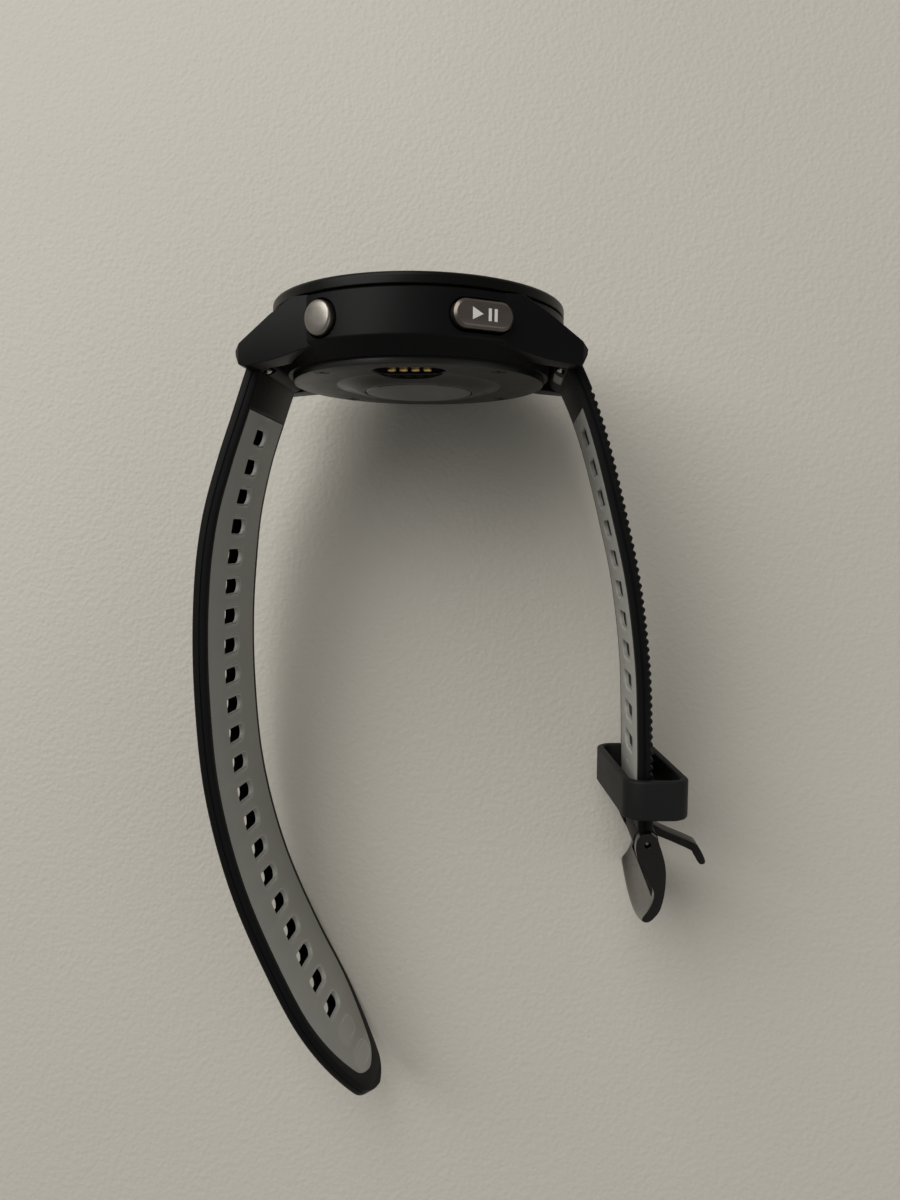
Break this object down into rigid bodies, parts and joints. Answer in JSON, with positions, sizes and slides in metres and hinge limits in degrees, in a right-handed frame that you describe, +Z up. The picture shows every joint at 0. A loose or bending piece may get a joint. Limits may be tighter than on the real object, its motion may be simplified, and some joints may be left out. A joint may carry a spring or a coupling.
{
  "type": "gps running watch",
  "caption": "Round sports watch with side push buttons and a rear optical sensor, on a perforated two-tone silicone quick-release strap with a keeper and tongue buckle.",
  "frame": {"origin": "under the middle of the overall box, on the surface the watch lies on", "axes": "+Y from the case along the hanging strap halves, towards the wrist side; +Z up, from 9 o'clock to 3 o'clock; +X towards the 6 o'clock strap half"},
  "size_m": [0.0814, 0.1328, 0.0479],
  "materials": {
    "bezel_polymer": "satin black fibre-reinforced polymer",
    "lens_glass": "polished, dark",
    "display_black": "dark when off",
    "seal_rubber": "matte",
    "case_polymer": "satin black",
    "cover_polymer": "satin dark grey",
    "sensor_glass": "polished dark window",
    "circuit_board": "solder mask",
    "battery_foil": "foil pouch",
    "coin_steel": "plain",
    "buzzer_brass": "plain",
    "antenna_polymer": "plated tracks",
    "contact_plastic": "matte black",
    "contact_gold": "gold plated",
    "screw_steel": "dark zinc",
    "start_button_metal": "dark brushed with a polished chamfer",
    "button_metal": "warm pewter",
    "switch_plastic": "plain",
    "strap_black": "satin silicone",
    "strap_grey": "matte silicone",
    "bar_steel": "plain",
    "keeper_rubber": "matte silicone",
    "buckle_metal": "dark gunmetal with a polished edge",
    "pin_steel": "polished",
    "tongue_metal": "dark gunmetal"
  },
  "bodies": {
    "case": {"bezel": "bezel_polymer", "display_lens": "lens_glass", "display_panel": "display_black", "bezel_gasket": "seal_rubber", "mid_case": "case_polymer", "seal_back": "seal_rubber", "seal_start": "seal_rubber", "seal_light": "seal_rubber", "seal_up": "seal_rubber", "seal_down": "seal_rubber", "back_gasket": "seal_rubber", "back_cover": "cover_polymer", "sensor_window": "sensor_glass", "back_screw_1": "screw_steel", "back_screw_2": "screw_steel", "back_screw_3": "screw_steel", "back_screw_4": "screw_steel", "contact_block": "contact_plastic", "contact_1": "contact_gold", "contact_2": "contact_gold", "contact_3": "contact_gold", "contact_4": "contact_gold", "antenna_ring": "antenna_polymer", "main_board": "circuit_board", "battery": "battery_foil", "vibration_motor": "coin_steel", "buzzer": "buzzer_brass", "sensor_board": "circuit_board", "switch_back": "switch_plastic", "switch_start": "switch_plastic", "switch_light": "switch_plastic", "switch_up": "switch_plastic", "switch_down": "switch_plastic"},
    "back_button": {"button_back": "button_metal"},
    "start_button": {"button_start": "start_button_metal"},
    "light_button": {"button_light": "button_metal"},
    "up_button": {"button_up": "button_metal"},
    "down_button": {"button_down": "button_metal"},
    "long_strap": {"long_strap_outer_root": "strap_black", "long_strap_lining_root": "strap_grey", "long_strap_bar_tube": "bar_steel", "long_strap_bar_fixed_tip": "bar_steel"},
    "long_strap_end": {"long_strap_outer_end": "strap_black", "long_strap_lining_end": "strap_grey"},
    "long_release": {"long_strap_bar_release_tip": "bar_steel"},
    "short_strap": {"short_strap_outer_root": "strap_black", "short_strap_lining_root": "strap_grey", "short_strap_bar_tube": "bar_steel", "short_strap_bar_fixed_tip": "bar_steel"},
    "short_strap_end": {"short_strap_outer_end": "strap_black", "short_strap_lining_end": "strap_grey"},
    "short_release": {"short_strap_bar_release_tip": "bar_steel"},
    "keeper": {"keeper": "keeper_rubber"},
    "buckle": {"buckle_frame": "buckle_metal", "buckle_bar": "pin_steel"},
    "tongue": {"tongue": "tongue_metal"}
  },
  "joints": [
    {"name": "back_press", "type": "slide", "parent": "case", "child": "back_button", "axis": [-0.5074, -0.1064, -0.8551], "range_m": [0, 0.0007], "stiffness_N_per_m": 1500, "springref_m": -0.0007},
    {"name": "start_press", "type": "slide", "parent": "case", "child": "start_button", "axis": [0.4773, -0.1085, -0.872], "range_m": [0, 0.0007], "stiffness_N_per_m": 1500, "springref_m": -0.0007},
    {"name": "light_press", "type": "slide", "parent": "case", "child": "light_button", "axis": [0.4923, 0.1074, 0.8638], "range_m": [0, 0.0007], "stiffness_N_per_m": 1500, "springref_m": -0.0007},
    {"name": "up_press", "type": "slide", "parent": "case", "child": "up_button", "axis": [-0.0089, 0.1234, 0.9923], "range_m": [0, 0.0007], "stiffness_N_per_m": 1500, "springref_m": -0.0007},
    {"name": "down_press", "type": "slide", "parent": "case", "child": "down_button", "axis": [-0.5077, 0.1063, 0.855], "range_m": [0, 0.0007], "stiffness_N_per_m": 1500, "springref_m": -0.0007},
    {"name": "long_strap_swing", "type": "hinge", "parent": "case", "child": "long_strap", "pos_m": [0.03004, -0.05486, 0.02421], "axis": [0.0089, -0.1234, -0.9923], "range_deg": [-6, 55]},
    {"name": "long_strap_flex", "type": "hinge", "parent": "long_strap", "child": "long_strap_end", "pos_m": [0.03874, -0.00204, 0.01772], "axis": [0.0089, -0.1234, -0.9923], "range_deg": [-8, 20], "stiffness_Nm_per_rad": 0.03},
    {"name": "long_bar_release", "type": "slide", "parent": "long_strap", "child": "long_release", "axis": [0.0089, -0.1234, -0.9923], "range_m": [0, 0.0014], "stiffness_N_per_m": 300, "springref_m": -0.001},
    {"name": "short_strap_swing", "type": "hinge", "parent": "case", "child": "short_strap", "pos_m": [-0.01676, -0.05491, 0.02379], "axis": [-0.0089, 0.1234, 0.9923], "range_deg": [-6, 55]},
    {"name": "short_strap_flex", "type": "hinge", "parent": "short_strap", "child": "short_strap_end", "pos_m": [-0.02681, -0.02246, 0.01967], "axis": [-0.0089, 0.1234, 0.9923], "range_deg": [-8, 15], "stiffness_Nm_per_rad": 0.03},
    {"name": "short_bar_release", "type": "slide", "parent": "short_strap", "child": "short_release", "axis": [0.0089, -0.1234, -0.9923], "range_m": [0, 0.0014], "stiffness_N_per_m": 300, "springref_m": -0.001},
    {"name": "keeper_slide", "type": "slide", "parent": "short_strap_end", "child": "keeper", "axis": [0.0244, -0.992, 0.1236], "range_m": [-0.0004, 0.008]},
    {"name": "buckle_swing", "type": "hinge", "parent": "short_strap_end", "child": "buckle", "pos_m": [-0.02971, 0.01771, 0.01465], "axis": [-0.0089, 0.1234, 0.9923], "range_deg": [-40, 40]},
    {"name": "tongue_swing", "type": "hinge", "parent": "buckle", "child": "tongue", "pos_m": [-0.02971, 0.01771, 0.01465], "axis": [-0.0089, 0.1234, 0.9923], "range_deg": [-45, 12]}
  ]
}
